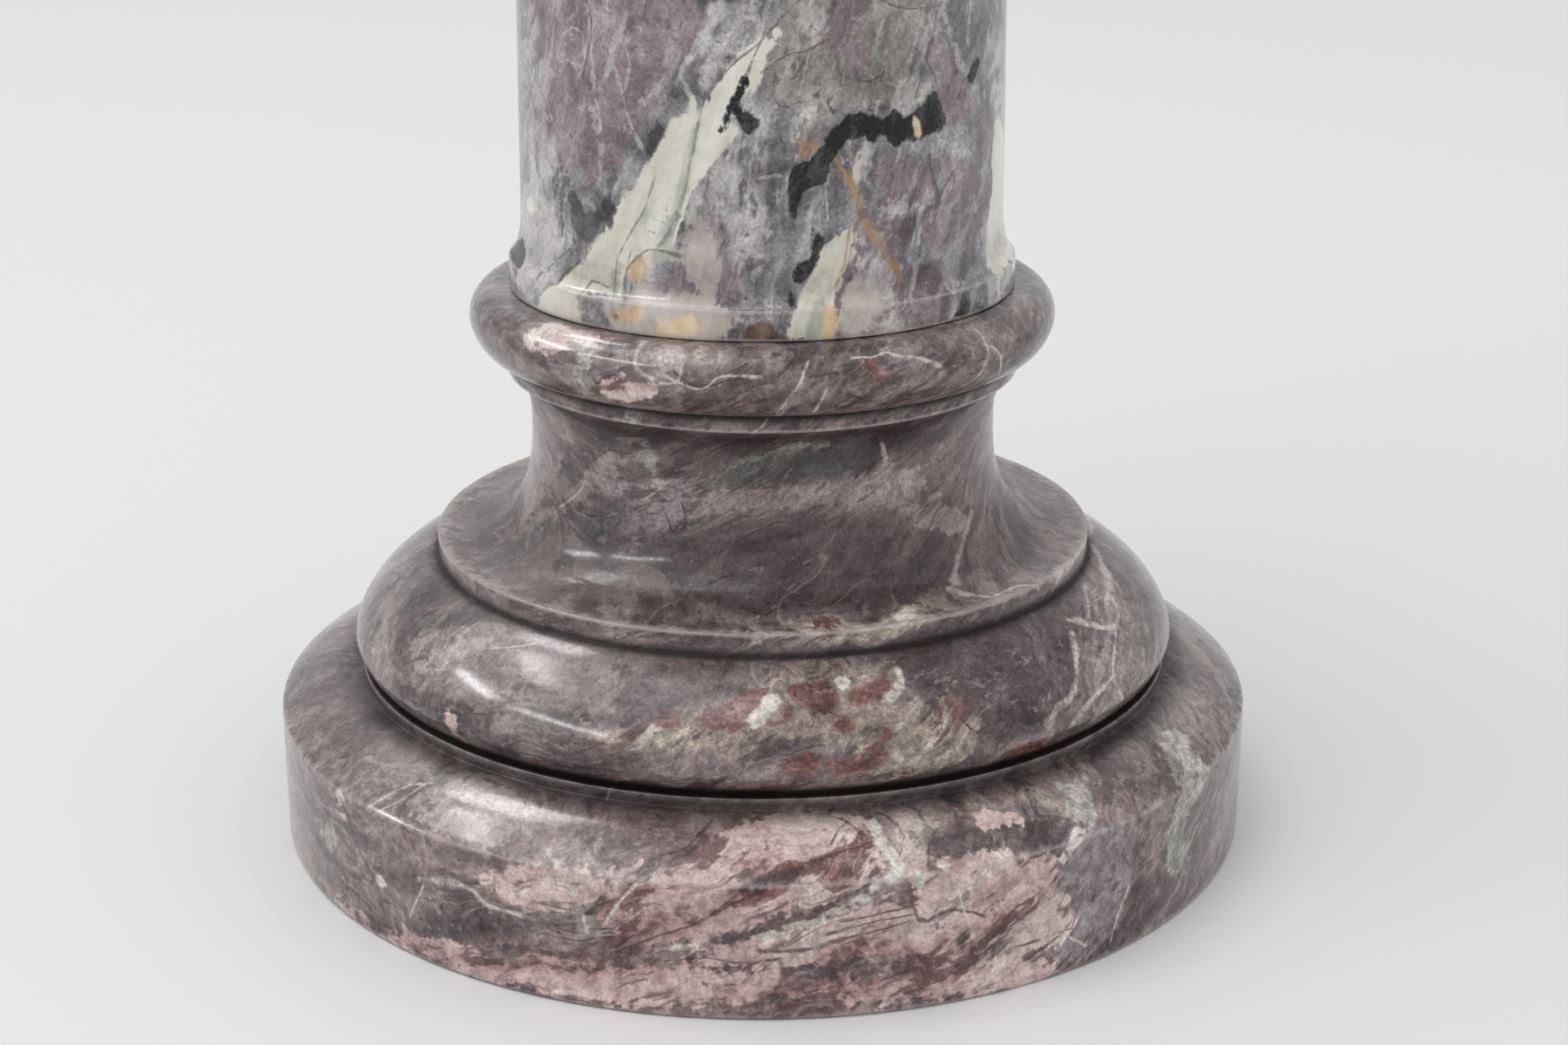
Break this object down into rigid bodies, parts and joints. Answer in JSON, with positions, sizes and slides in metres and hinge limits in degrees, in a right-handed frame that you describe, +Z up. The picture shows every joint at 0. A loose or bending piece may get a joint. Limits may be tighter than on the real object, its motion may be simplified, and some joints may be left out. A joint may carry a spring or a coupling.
{
  "type": "marble column",
  "caption": "Turned marble column with a round moulded base of torus and scotia, a tapering round shaft and a plain round cap, free-standing.",
  "frame": {"origin": "centre of the column's underside, on the floor", "axes": "+Z up along the column's axis; X and Y are level and interchangeable but for the veining, and the side in the picture faces -Y"},
  "size_m": [0.36, 0.36, 1.1],
  "materials": {
    "plum_marble": "polished plum and pink veined marble",
    "breccia_marble": "polished lilac-grey breccia marble with ivory, black and rust veins",
    "cap_plum_marble": "polished plum veined marble"
  },
  "bodies": {
    "root": {"base": "plum_marble", "shaft": "breccia_marble", "cap": "cap_plum_marble"}
  },
  "joints": []
}
